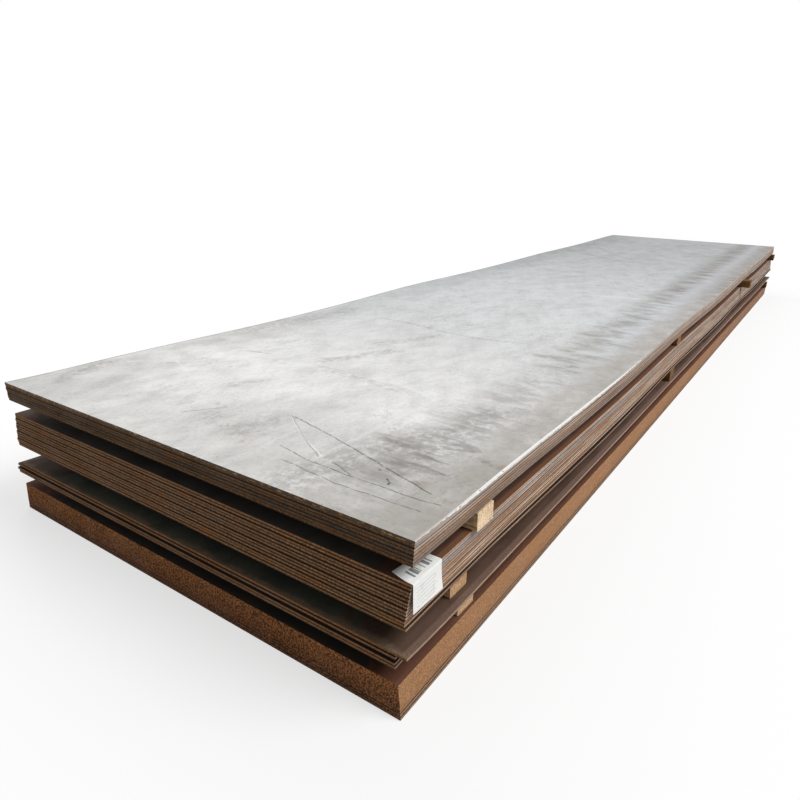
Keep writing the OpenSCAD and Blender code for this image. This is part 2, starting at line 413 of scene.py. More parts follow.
RUST_SPOTS: tuple[Mark, ...] = (
    Mark(((-2.733, 0.103), (-2.734, 0.101)), 0.001, 0.009, 0.55),
    Mark(((-2.731, -0.055), (-2.732, -0.056)), 0.001, 0.008, 0.4),
    Mark(((-2.829, -0.048), (-2.830, -0.050)), 0.001, 0.009, 0.45),
    Mark(((-2.874, -0.153), (-2.875, -0.155)), 0.001, 0.010, 0.5),
    Mark(((-2.794, -0.633), (-2.795, -0.636)), 0.002, 0.014, 0.3),
    Mark(((-2.622, -0.742), (-2.624, -0.745)), 0.002, 0.010, 0.70),
)


@dataclass(frozen=True)
class MillScale:
    """Pale mill scale on the top plate, lighter towards the near end as painted light, with its scratches,
    smears, drips and a painted highlight along the sheared edge.
    """

    name: str = "pale_mill_scale"
    # Painted light: the scale is lighter at the near end and darker towards the far end, standing for how the
    # light falls along the top
    along: Stops = (
        (0.00, (213, 212, 209)),
        (0.12, (228, 227, 225)),
        (0.22, (213, 214, 213)),
        (0.35, (206, 208, 209)),
        (0.55, (189, 191, 193)),
        (0.72, (173, 175, 176)),
        (1.00, (168, 170, 172)),
    )
    scuff_turns: tuple[float, ...] = (0.12, 0.7, 2.6)
    grime: Colour = (122, 117, 112)
    edge_grime: Colour = (150, 140, 130)
    pale: Colour = (240, 240, 238)
    cool: Colour = (210, 213, 222)
    scratch: Colour = (58, 56, 54)
    rust: Colour = (196, 152, 92)
    # Near-white colour of the painted highlight on the long edge and its top rim
    rim: Colour = (250, 248, 244)
    side: Colour = (176, 160, 148)
    end: Colour = (82, 64, 47)
    wander: float = 0.014
    # Where the painted highlight runs on the top face, and where it starts and stops along the edge
    rim_inset: Point = (-0.7455, -0.7475)
    lit_start: Point = (-3.0, -2.65)
    lit_stop: Point = (-1.2, -2.0)
    side_darkening_start: Point = (-0.38, -0.50)
    drip_start: Point = (-0.42, -0.52)
    drip_stop: Point = (-0.616, -0.598)
    drip_share: float = 0.66
    corner_share: float = 0.4

    def material(self) -> Material:
        """Build the finish.

        Returns:
            The material of the top plate.
        """
        g = Graph(bpy.data.materials.new(self.name))
        place = g.place()
        x, y, _ = g.split(place)
        level, end = g.facing()
        colour = self.face(g, x, y, place)
        edge = self.edge(g, x, place, end)
        rough = g.rise(g.noise(place, 9.0), 0.3, 0.7, 0.5, 0.68)
        fine = g.noise(place, 260.0, 3.0)
        return g.surface(g.mix(level, edge, colour), rough, g.bump(fine, 0.08, 0.0006), 0.25)

    def masked(self, g: Graph, point: Socket, marks: tuple[Mark, ...]) -> Socket:
        """Gather marks into one mask.

        Args:
            g: The material's graph.
            point: The place on the plate.
            marks: The marks to draw.

        Returns:
            The strongest mark at the point.
        """
        group = bpy.data.node_groups.get("stroke") or stroke_group()
        total: Value = 0.0
        for mark in marks:
            for start, stop in zip(mark.path, mark.path[1:]):
                values = {
                    "Point": point,
                    "Start": (*start, 0.0),
                    "End": (*stop, 0.0),
                    "Core": mark.core,
                    "Rim": mark.rim,
                    "Strength": mark.strength,
                    "Before": total,
                }
                node = g.put("ShaderNodeGroup", values, node_tree=group)
                total = node.outputs[0]
        return total

    def face(self, g: Graph, x: Socket, y: Socket, place: Socket) -> Socket:
        """Colour the level faces.

        Args:
            g: The material's graph.
            x: The place along the plate.
            y: The place across it.
            place: The whole place; not used.

        Returns:
            The colour of the scale.
        """
        flat = g.join(x, y)
        colour = self.grimy(g, x, y, flat, self.scale(g, x, y, flat))
        # Marks follow a line that wanders a little, and smears break up
        drift = g.put("ShaderNodeTexNoise", {"Vector": flat, "Scale": 18.0, "Detail": 3.0}).outputs["Color"]
        centred = g.vector("SUBTRACT", drift, (0.5, 0.5, 0.5))
        point = g.vector("ADD", flat, g.scaled(centred, (self.wander, self.wander, 0.0)))
        torn = g.rise(g.noise(flat, 34.0, 7.0, 0.72), 0.42, 0.56)
        smear = g.times(self.masked(g, point, SMEARS), torn)
        colour = g.mix(smear, colour, self.grime)
        worn = g.rise(g.noise(flat, 70.0, 3.0), 0.34, 0.55, 0.25, 1.0)
        for marks, ink in ((PALE_LINES, self.pale), (SCRATCHES, self.scratch), (RUST_SPOTS, self.rust)):
            colour = g.mix(g.times(self.masked(g, point, marks), worn), colour, ink)
        # A thin painted highlight along the long edge of the top face, over the lit run
        lit = g.times(g.rise(y, *self.rim_inset), self.lit_run(g, x))
        return g.mix(lit, colour, self.rim)

    def scale(self, g: Graph, x: Socket, y: Socket, flat: Socket) -> Socket:
        """Colour the bare scale, cloudy, scuffed in several directions and crossed by hairlines.

        Args:
            g: The material's graph.
            x: The place along the plate.
            y: The place across it.
            flat: Both, as a vector.

        Returns:
            The colour of the scale.
        """
        # The stops paint the light falling off from the near end to the far end
        along = g.math("DIVIDE", g.math("ADD", x, HALF_LENGTH), 2 * HALF_LENGTH)
        cloud = g.noise(g.scaled(flat, (1.0, 1.3, 1.0)), 1.9, 7.0, 0.58)
        colour = g.stops(g.math("ADD", along, g.rise(cloud, 0.3, 0.7, -0.05, 0.05)), self.along)
        patch = g.noise(g.scaled(flat, (1.0, 1.4, 1.0)), 7.0, 8.0, 0.66)
        tone = g.times(g.rise(cloud, 0.34, 0.62, 0.91, 1.04), g.rise(patch, 0.3, 0.6, 0.88, 1.04))
        for turn in self.scuff_turns:
            spin = {"Vector": flat, "Angle": turn}
            turned = g.put("ShaderNodeVectorRotate", spin, rotation_type="Z_AXIS").outputs[0]
            scuff = g.noise(g.scaled(turned, (4.0, 26.0, 1.0)), 1.0, 6.0, 0.68)
            tone = g.times(tone, g.rise(scuff, 0.3, 0.6, 0.95, 1.02))
        fleck = g.noise(flat, 75.0, 5.0, 0.7)
        tone = g.times(tone, g.rise(fleck, 0.34, 0.52, 0.9, 1.02))
        speck = g.noise(flat, 150.0, 2.0)
        tone = g.times(tone, g.rise(speck, 0.27, 0.37, 0.75, 1.0))
        thread = g.noise(g.scaled(flat, (1.0, 1.7, 1.0)), 3.6, 6.0, 0.62)
        hair = g.rise(g.math("ABSOLUTE", g.math("SUBTRACT", thread, 0.5)), 0.009, 0.002)
        hair = g.times(hair, g.rise(g.noise(flat, 1.7, 3.0), 0.48, 0.62))
        tone = g.times(tone, g.rise(hair, 0.0, 1.0, 1.0, 0.76))
        tone = g.times(tone, g.rise(y, 0.46, 0.68, 1.0, 0.83))
        tone = g.times(tone, g.rise(y, 0.738, 0.748, 1.0, 0.6))
        return g.shade(colour, tone)

    def grimy(self, g: Graph, x: Socket, y: Socket, flat: Socket, colour: Socket) -> Socket:
        """Darken the strip towards the long side, and lay its drips and a darker band along the edge and at
        the corner.

        Args:
            g: The material's graph.
            x: The place along the plate.
            y: The place across it.
            flat: Both, as a vector.
            colour: The colour of the bare scale.

        Returns:
            The colour with the grime.
        """
        broken = g.noise(g.scaled(flat, (12.0, 5.0, 1.0)), 1.0, 7.0, 0.7)
        outer = g.math("ADD", y, g.rise(broken, 0.3, 0.7, -0.05, 0.05))
        # Darker towards the long side, more so towards the far end
        side_darkening = g.times(g.rise(outer, *self.side_darkening_start), g.rise(broken, 0.38, 0.6, 0.12, 0.38))
        side_darkening = g.times(side_darkening, g.rise(x, -1.2, 0.6, 1.0, 2.1))
        colour = g.mix(side_darkening, colour, self.grime)
        finger = g.noise(g.scaled(flat, (13.0, 1.6, 1.0)), 1.0, 4.0, 0.6)
        reach = g.rise(x, -1.0, 0.4, 0.08, 0.015)
        front = g.math("MULTIPLY_ADD", g.rise(finger, 0.3, 0.7, -1.0, 1.0), reach, y)
        dash = g.noise(g.scaled(flat, (34.0, 4.5, 1.0)), 1.0, 6.0, 0.7)
        tip = g.math("ADD", front, g.rise(dash, 0.3, 0.7, -0.02, 0.02))
        strip = g.times(g.rise(tip, *self.drip_start), g.rise(tip, *self.drip_stop))
        torn = g.times(g.rise(broken, 0.42, 0.56, 0.15, 1.0), g.rise(dash, 0.42, 0.53, 0.3, 1.0))
        group = g.rise(g.noise(g.scaled(flat, (1.0, 0.4, 1.0)), 2.6, 2.0), 0.4, 0.58, 0.3, 1.0)
        far = g.rise(x, 0.4, -1.4, 0.25, 1.0)
        drip = g.times(g.times(strip, torn), g.times(group, far))
        colour = g.mix(g.times(drip, self.drip_share), colour, self.grime)
        bluish = g.times(g.rise(front, -0.53, -0.62), g.rise(outer, -0.71, -0.63))
        colour = g.mix(g.times(bluish, g.rise(x, -2.2, -1.2, 0.0, 0.34)), colour, self.cool)
        mottle = g.rise(g.noise(g.scaled(flat, (8.0, 14.0, 1.0)), 1.0, 7.0, 0.7), 0.3, 0.6, 0.4, 1.0)
        band = g.times(g.rise(outer, -0.61, -0.69), g.rise(x, 0.3, -1.2, 0.3, 0.55))
        corner = g.times(g.rise(x, -2.72, -3.0), g.rise(y, -0.2, -0.7, 0.0, self.corner_share))
        band = g.math("MAXIMUM", band, corner)
        return g.mix(g.times(band, mottle), colour, self.edge_grime)

    def lit_run(self, g: Graph, x: Socket) -> Socket:
        """Return the run of the long edge where the sheared metal gets a painted highlight."""
        return g.times(g.rise(x, *self.lit_start, 0.25, 1.0), g.rise(x, *self.lit_stop))

    def edge(self, g: Graph, x: Socket, place: Socket, end: Socket) -> Socket:
        """Colour the sheared edges, with a painted highlight over part of the long side.

        Args:
            g: The material's graph.
            x: The place along the plate.
            place: The whole place.
            end: The mask of the end faces.

        Returns:
            The colour of the edges.
        """
        ragged = g.noise(g.scaled(place, (60.0, 60.0, 160.0)), 1.0, 4.0, 0.6)
        bite = g.math("ADD", g.attribute("rise"), g.rise(ragged, 0.3, 0.7, -0.45, 0.25))
        # Over the lit run, a painted highlight covers the upper part of the long side, more of it where the
        # run is stronger
        low = g.left(self.lit_run(g, x))
        bright = g.rise(g.math("SUBTRACT", bite, low), 0.0, 0.12)
        side = g.mix(bright, self.side, self.rim)
        rusted = g.mix(g.rise(ragged, 0.5, 0.7), self.end, self.rust)
        return g.mix(end, side, g.shade(rusted, g.rise(ragged, 0.3, 0.6, 0.7, 1.1)))


@dataclass(frozen=True)
class PackSteel:
    """Rust and scale on a pack of plates: its long sides, its ends and the faces that show in the gaps."""

    name: str
    count: int
    side: Stops
    end: Stops
    face: Colour
    face_rust: Colour
    face_side: Colour
    lip: Colour
    lip_share: float
    end_reach: float
    side_reach: float
    variety: Point
    streaks: float
    joint: Point
    seam: float
    grain: float
    speckle: float
    glint: float
    # Colour of a lighter strip along each long edge of the level faces, painted light where the rim catches
    # light that the faces further in miss
    strip: Colour
    lit_strip_reach: float
    # How strongly each plate's end darkens towards its bottom and lightens towards its top
    end_banding_depth: float
    dust_share: float
    seed: float
    dust: Colour = (190, 174, 163)
    # Colour of the painted highlight along the upper rim of each plate's long side
    pale_rim: Colour = (224, 208, 194)
    # Painted shade for the level faces of plates that lie under others
    gap_shade: Colour = (34, 28, 24)
    side_speckle: float = 0.2

    def material(self) -> Material:
        """Build the finish.

        Returns:
            The material of the pack.
        """
        g = Graph(bpy.data.materials.new(self.name))
        place = g.place()
        x, y, _ = g.split(place)
        level, end = g.facing()
        fine = g.noise(g.scaled(place, (1.0, 1.0, 1.6)), 290.0, 3.0, 0.6)
        edge = self.edge(g, x, place, end, fine)
        face = self.level_face(g, x, y, place, fine)
        rough = g.rise(g.noise(place, 9.0), 0.3, 0.7, 0.7, 0.9)
        return g.surface(g.mix(level, edge, face), rough, g.bump(fine, 0.25, 0.0008), 0.2)

    def edge(self, g: Graph, x: Socket, place: Socket, end: Socket, fine: Socket) -> Socket:
        """Colour the sheared edges, plate by plate.

        Args:
            g: The material's graph.
            x: The place along the plates.
            place: The whole place.
            end: The mask of the end faces.
            fine: The fine grain.

        Returns:
            The colour of the edges.
        """
        plate, rise = g.attribute("plate"), g.attribute("rise")
        share = g.math("DIVIDE", g.math("ADD", plate, 0.5), float(self.count))
        edge = g.mix(end, g.stops(share, self.side), g.stops(share, self.end))
        key = g.math("ADD", g.times(plate, 1.37), self.seed)
        chance = g.chance(key)
        streak = g.noise(g.scaled(place, (3.0, 3.0, 260.0)), 1.0, 4.0, 0.6)
        swing = g.rise(end, 0.0, 1.0, 2 * self.variety[1], 2 * self.variety[0])
        tone = g.math("MULTIPLY_ADD", g.math("SUBTRACT", chance, 0.5), swing, 1.0)
        tone = g.times(tone, g.rise(streak, 0.3, 0.65, 1.0 - self.streaks, 1.0 + 0.7 * self.streaks))
        tone = g.times(tone, g.rise(fine, 0.3, 0.65, 1.0 - self.grain, 1.0 + self.grain))
        spots = g.noise(place, 215.0, 2.0)
        pits = g.rise(end, 0.0, 1.0, self.side_speckle * self.speckle, self.speckle)
        tone = g.times(tone, g.math("MULTIPLY_ADD", g.rise(spots, 0.36, 0.64, -1.0, 1.0), pits, 1.0))
        dust = g.times(g.rise(x, -2.5, 2.0, 0.0, self.dust_share), g.left(end))
        edge = g.shade(g.mix(dust, edge, self.dust), tone)
        # Each plate's end is darker towards its bottom and lighter towards its top
        ragged_rise = g.math("ADD", rise, g.rise(fine, 0.3, 0.7, -0.2, 0.2))
        end_banding = g.rise(ragged_rise, 0.0, 0.7, 0.25, 1.3)
        edge = g.shade(edge, g.rise(g.times(end, self.end_banding_depth), 0.0, 1.0, 1.0, end_banding))
        blotch = g.noise(g.scaled(place, (1.0, 1.0, 5.0)), 9.0, 5.0, 0.6)
        edge = g.mix(g.times(g.rise(blotch, 0.5, 0.72), self.lip_share), edge, self.lip)
        lip = g.times(g.rise(rise, 0.55, 0.9), g.rise(g.noise(place, 70.0, 4.0), 0.38, 0.58))
        edge = g.mix(g.times(lip, self.lip_share), edge, self.lip)
        # Painted highlight: pale lines near the top of each plate's long side
        pale = g.times(g.rise(rise, 0.4, 0.6), g.rise(rise, 0.9, 0.78))
        pale = g.times(pale, g.left(end))
        pale = g.times(pale, g.times(g.rise(chance, 0.3, 0.6, 0.1, 1.0), g.rise(streak, 0.35, 0.6)))
        edge = g.mix(g.times(pale, self.glint), edge, self.pale_rim)
        seam = g.math("MAXIMUM", g.rise(rise, 1.0 - self.seam / 2, 1.0), g.rise(rise, self.seam, 0.0))
        depth = g.times(g.rise(chance, 0.1, 0.9, 0.75, 1.0), g.rise(share, 0.45, 0.8, *self.joint))
        return g.shade(edge, g.left(g.times(seam, depth)))

    def level_face(self, g: Graph, x: Socket, y: Socket, place: Socket, fine: Socket) -> Socket:
        """Colour the level faces: dark scale inside, rust along the rims, a lighter strip along the sides as
        painted light, and painted shade on the faces of plates under others.

        Args:
            g: The material's graph.
            x: The place along the plates.
            y: The place across them.
            place: The whole place.
            fine: The fine grain.

        Returns:
            The colour of the faces.
        """
        wander = g.rise(g.noise(place, 14.0, 6.0, 0.65), 0.3, 0.7, -0.5, 0.5)
        past_end = g.math("SUBTRACT", HALF_LENGTH, g.math("ABSOLUTE", x))
        past_end = g.math("MULTIPLY_ADD", wander, self.end_reach, past_end)
        past_side = g.math("SUBTRACT", HALF_WIDTH, g.math("ABSOLUTE", y))
        past_side = g.math("MULTIPLY_ADD", wander, self.side_reach, past_side)
        across = g.attribute("across")
        from_edge = g.math("MINIMUM", across, g.math("SUBTRACT", 2 * HALF_WIDTH, across))
        # Painted light: a lighter strip along each long edge
        lit_strip = g.rise(from_edge, 0.8 * self.lit_strip_reach, 1.2 * self.lit_strip_reach, 1.0, 0.0)
        cloud = g.rise(g.noise(g.scaled(place, (1.0, 2.0, 1.0)), 5.0, 7.0, 0.65), 0.3, 0.65, 0.7, 1.25)
        side_rim = g.rise(past_side, self.side_reach * 0.5, self.side_reach, 1.0, 0.0)
        face = g.mix(side_rim, g.shade(self.face, cloud), g.shade(self.face_side, cloud))
        face = g.mix(lit_strip, face, g.shade(self.strip, g.rise(fine, 0.3, 0.7, 0.8, 1.2)))
        rust = g.shade(self.face_rust, g.rise(fine, 0.3, 0.7, 0.7, 1.25))
        face = g.mix(g.rise(past_end, 0.0, self.end_reach, 1.0, 0.0), face, rust)
        # Faces of plates that lie under others get painted shade
        gap_shade = g.rise(g.attribute("plate"), 0.4, 0.6)
        return g.mix(gap_shade, face, g.shade(self.gap_shade, cloud))


@dataclass(frozen=True)
class Pine:
    """Sawn pine with grain along its faces and growth rings on its ends."""

    name: str = "sawn_pine"
    early: Colour = (252, 228, 194)
    late: Colour = (186, 142, 92)
    aged: Colour = (172, 114, 50)
    dirt: Colour = (74, 56, 42)
    side_age: float = 0.5
    pith: Point = (0.018, -0.034)
    ring_rate: float = 1500.0
    ring_share: float = 0.58
    soil_share: float = 0.62

    def material(self) -> Material:
        """Build the finish.

        Returns:
            The material of the battens.
        """
        g = Graph(bpy.data.materials.new(self.name))
        section = g.attribute("section", "Vector")
        age_and_shade = g.math("MAXIMUM", g.attribute("age_and_shade"), self.weathered(g))
        across, _, up = g.split(section)
        warp = g.noise(g.scaled(section, (14.0, 1.4, 14.0)), 1.0, 4.0)
        aside = g.math("SUBTRACT", across, self.pith[0])
        above = g.math("SUBTRACT", up, self.pith[1])
        radius = g.length(g.join(aside, 0.0, above))
        turns = g.times(g.math("ADD", radius, g.times(warp, 0.012)), self.ring_rate)
        ring = g.rise(g.math("SINE", turns), -0.6, 0.95)
        fibre = g.noise(g.scaled(section, (420.0, 9.0, 420.0)), 1.0, 3.0)
        wood = g.mix(g.times(ring, self.ring_share), self.early, self.late)
        wood = g.mix(age_and_shade, wood, self.aged)
        # High values darken a batten strongly: painted shade for the battens set back between the packs, on
        # top of their weathering
        wood = g.shade(wood, g.rise(age_and_shade, 0.6, 1.0, 1.0, 0.2))
        wood = g.shade(wood, g.rise(fibre, 0.25, 0.65, 0.7, 1.22))
        torn = g.noise(g.scaled(section, (1.9, 0.3, 0.4)), 150.0, 4.0, 0.65)
        wood = g.shade(wood, g.rise(torn, 0.34, 0.62, 0.74, 1.2))
        soil = g.rise(g.noise(g.scaled(section, (30.0, 9.0, 30.0)), 1.0, 5.0, 0.7), 0.5, 0.72)
        wood = g.mix(g.times(soil, self.soil_share), wood, self.dirt)
        rough = g.rise(fibre, 0.2, 0.8, 0.75, 0.95)
        return g.surface(wood, rough, g.bump(fibre, 0.3, 0.0008), 0.2)

    def weathered(self, g: Graph) -> Socket:
        """Return the weathering of the sawn sides, which the cut ends lack."""
        _, ny, _ = g.split(g.put("ShaderNodeNewGeometry").outputs["True Normal"])
        return g.rise(g.math("ABSOLUTE", ny), 0.5, 0.7, self.side_age, 0.0)


@dataclass(frozen=True)
class Paper:
    """White tag paper with smudges, plain ruled lines and a block of plain bars that encode nothing."""

    name: str = "tag_paper"
    white: Colour = (253, 253, 250)
    shade: Colour = (206, 204, 198)
    ruling: Colour = (84, 86, 88)
    rule_pitch: float = 0.0085
    rule_strength: float = 0.4
    bar_pitch: float = 0.0024
    bar_strength: float = 0.8

    def within(self, g: Graph, value: Socket, low: float, high: float) -> Socket:
        """Mask the stretch between two distances on the sheet."""
        return g.times(g.rise(value, low, low + 0.001), g.rise(value, high, high - 0.001))

    def material(self) -> Material:
        """Build the finish.

        Returns:
            The material of the tag.
        """
        g = Graph(bpy.data.materials.new(self.name))
        flat = g.attribute("flat", "Vector")
        u, v, _ = g.split(flat)
        smudge = g.rise(g.noise(flat, 45.0, 5.0, 0.6), 0.5, 0.75)
        colour = g.mix(g.times(smudge, 0.5), self.white, self.shade)
        comb = g.math("FRACT", g.times(v, 1 / self.rule_pitch))
        ruled = g.times(g.rise(comb, 0.84, 0.88), self.within(g, v, 0.062, 0.112))
        ruled = g.times(ruled, self.within(g, u, 0.012, 0.078))
        bar = g.math("FLOOR", g.times(u, 1 / self.bar_pitch))
        block = g.times(self.within(g, v, 0.016, 0.040), self.within(g, u, 0.020, 0.088))
        bars = g.times(block, g.rise(g.chance(bar), 0.4, 0.45))
        printed = g.math("MAXIMUM", g.times(ruled, self.rule_strength), g.times(bars, self.bar_strength))
        colour = g.mix(printed, colour, self.ruling)
        rough = g.rise(smudge, 0.0, 1.0, 0.6, 0.8)
        return g.surface(colour, rough, g.bump(g.noise(flat, 120.0, 4.0), 0.15, 0.0006), 0.3)


@dataclass
class PlatePack:
    """A pack of plates, or the top plate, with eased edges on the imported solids."""

    node: str
    finish: MillScale | PackSteel
    slot: str
    easing: float = 0.0007
    play: float = 1.0
    play_limit: float = 0.0035
    shut: int = 0
    merge: float = 1e-5
    flatness: float = math.radians(0.02)
    downward: float = -0.5

    def build(self) -> Piece:
        """Copy the node's plates as clean solids and ease their edges.

        Returns:
            The pack as one piece.
        """
        piece = bpy.data.objects.new(f"{self.node}_steel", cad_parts[self.node].data.copy())
        bpy.context.scene.collection.objects.link(piece)
        select_only(piece)
        bpy.ops.mesh.customdata_custom_splitnormals_clear()
        bpy.ops.object.mode_set(mode="EDIT")
        bpy.ops.mesh.select_all(action="SELECT")
        bpy.ops.mesh.remove_doubles(threshold=self.merge)
        bpy.ops.mesh.dissolve_limited(angle_limit=self.flatness)
        bpy.ops.object.mode_set(mode="OBJECT")
        self.number(piece)
        bevel = piece.modifiers.new("easing", "BEVEL")
        bevel.width = self.easing
        bevel.segments = 2
        bevel.limit_method = "ANGLE"
        bpy.ops.object.modifier_apply(modifier=bevel.name)
        bpy.ops.object.shade_flat()
        return piece

    def number(self, piece: Piece) -> None:
        """Number the plates from the top, mark each corner's height and side, and close rusted joints.

        Args:
            piece: The merged pack.
        """
        mesh = bmesh.new()
        mesh.from_mesh(piece.data)
        number = mesh.verts.layers.float.new("plate")
        height = mesh.verts.layers.float.new("rise")
        across = mesh.verts.layers.float.new("across")
        left = set(mesh.verts)
        plates = []
        while left:
            reached = [left.pop()]
            for vert in reached:
                for edge in vert.link_edges:
                    other = edge.other_vert(vert)
                    if other in left:
                        left.remove(other)
                        reached.append(other)
            plates.append(reached)
        plates.sort(key=lambda plate: -sum(v.co.z for v in plate) / len(plate))
        if len(plates) > 1:
            self.line_up(plates)
        for count, plate in enumerate(plates):
            for vert in plate:
                vert[number] = count
                vert[height] = 0.0 if any(f.normal.z < self.downward for f in vert.link_faces) else 1.0
                vert[across] = 0.0 if vert.co.y < 0 else 2 * HALF_WIDTH
        for upper, lower in list(zip(plates, plates[1:]))[: self.shut]:
            rims = [vert.co for vert in lower if vert[height]]
            for vert in upper:
                if not vert[height]:
                    vert.co = min(rims, key=lambda rim: (rim - vert.co).length)
        mesh.to_mesh(piece.data)
        mesh.free()
        log.info("%s has %d plates", self.node, len(plates))

    def line_up(self, plates: list[list[bmesh.types.BMVert]]) -> None:
        """Draw plates that are a hair out of line towards the pack's lean, keeping a share of their play.

        Args:
            plates: The corners of each plate, from the top.
        """
        for axis in (0, 1):
            middles = []
            for plate in plates:
                places = [vert.co[axis] for vert in plate]
                middles.append((min(places) + max(places)) / 2)
            slope, start = linear_regression(range(len(plates)), middles)
            for number, plate in enumerate(plates):
                off = middles[number] - start - slope * number
                if abs(off) > self.play_limit:
                    continue
                for vert in plate:
                    vert.co[axis] -= off * (1.0 - self.play)

    def dress(self, piece: Piece) -> None:
        """Give the pack its finish and its place."""
        finish_piece(piece, self.node, self.finish.material())


@dataclass
class Batten:
    """One sawn timber batten, laid where its CAD node lies."""

    level: Level
    row: int
    age_and_shade: float
    seed: int
    slices: int = 30
    edge: float = 0.003
    roughness: float = 0.0009
    rough_scale: Place = (30.0, 9.0, 30.0)
    cut_slant: float = 0.05
    section_step: float = 1.7
    smooth: float = math.radians(35.0)

    @property
    def node(self) -> str:
        """Name the batten's CAD node."""
        return f"{self.level.value}_batten_{self.row}"

    def build(self) -> Piece:
        """Model the batten from a block: sliced along its length, eased and roughened.

        Returns:
            The batten.
        """
        corners = [v.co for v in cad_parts[self.node].data.vertices]
        lows = [c for c in corners if c.y < 0]
        highs = [c for c in corners if c.y > 0]
        near = sum(lows, Vector()) / len(lows)
        far = sum(highs, Vector()) / len(highs)
        length = (far - near).length
        height = max(c.z for c in corners) - min(c.z for c in corners)
        turn = math.atan2(near.x - far.x, far.y - near.y)
        width = (max(c.x for c in lows) - min(c.x for c in lows)) / math.cos(turn)
        bpy.ops.object.select_all(action="DESELECT")
        bpy.ops.mesh.primitive_cube_add(size=1.0)
        piece = bpy.context.active_object
        piece.name = f"{self.node}_timber"
        bpy.ops.object.mode_set(mode="EDIT")
        bpy.ops.transform.resize(value=(width, length, height))
        for cut in range(1, self.slices):
            station = length * (cut / self.slices - 0.5)
            bpy.ops.mesh.select_all(action="SELECT")
            bpy.ops.mesh.bisect(plane_co=(0.0, station, 0.0), plane_no=(0.0, 1.0, 0.0))
        bpy.ops.mesh.select_mode(type="EDGE")
        bpy.ops.mesh.select_all(action="DESELECT")
        mesh = bmesh.from_edit_mesh(piece.data)
        for edge in mesh.edges:
            first, second = (vert.co.y for vert in edge.verts)
            edge.select = edge.calc_face_angle(0.0) > 1.0 and abs(first - second) > TINY
        bmesh.update_edit_mesh(piece.data)
        bpy.ops.mesh.bevel(offset=self.edge, segments=3, affect="EDGES")
        bpy.ops.object.mode_set(mode="OBJECT")
        self.weather(piece, length, width)
        spin = Matrix.Translation((near + far) / 2) @ Matrix.Rotation(turn, 4, "Z")
        piece.data.transform(spin)
        bpy.ops.object.shade_smooth_by_angle(angle=self.smooth)
        return piece

    def weather(self, piece: Piece, length: float, width: float) -> None:
        """Roughen the sawn sides inwards, slant the cut ends and record the section and the value for
        weathering and painted shade.

        Args:
            piece: The eased batten, centred on the origin.
            length: Its length.
            width: Its width.
        """
        draw = random.Random(self.seed)
        slants = [draw.uniform(-self.cut_slant, self.cut_slant) for _ in range(4)]
        piece.data.attributes.new("section", "FLOAT_VECTOR", "POINT")
        piece.data.attributes.new("age_and_shade", "FLOAT", "POINT")
        section, age_and_shade = piece.data.attributes["section"], piece.data.attributes["age_and_shade"]
        for vert in piece.data.vertices:
            section.data[vert.index].vector = vert.co + Vector((0.0, self.seed * self.section_step, 0.0))
            age_and_shade.data[vert.index].value = self.age_and_shade
            x, y, z = (part * scale for part, scale in zip(vert.co, self.rough_scale))
            wave = noise.noise(Vector((x, y, z + self.seed)))
            vert.co.x -= math.copysign(self.roughness * (0.5 + 0.5 * wave), vert.co.x)
            if abs(vert.co.y) > length / 2 - TINY:
                first = 0 if vert.co.y < 0 else 2
                inward = slants[first] * vert.co.x + slants[first + 1] * vert.co.z
                worst = (abs(slants[first]) * width + abs(slants[first + 1]) * width) / 2
                vert.co.y -= math.copysign(max(0.0, worst + inward) * 0.5, vert.co.y)

    def dress(self, piece: Piece, pine: Material) -> None:
        """Give the batten its finish and its place."""
        finish_piece(piece, self.node, pine)


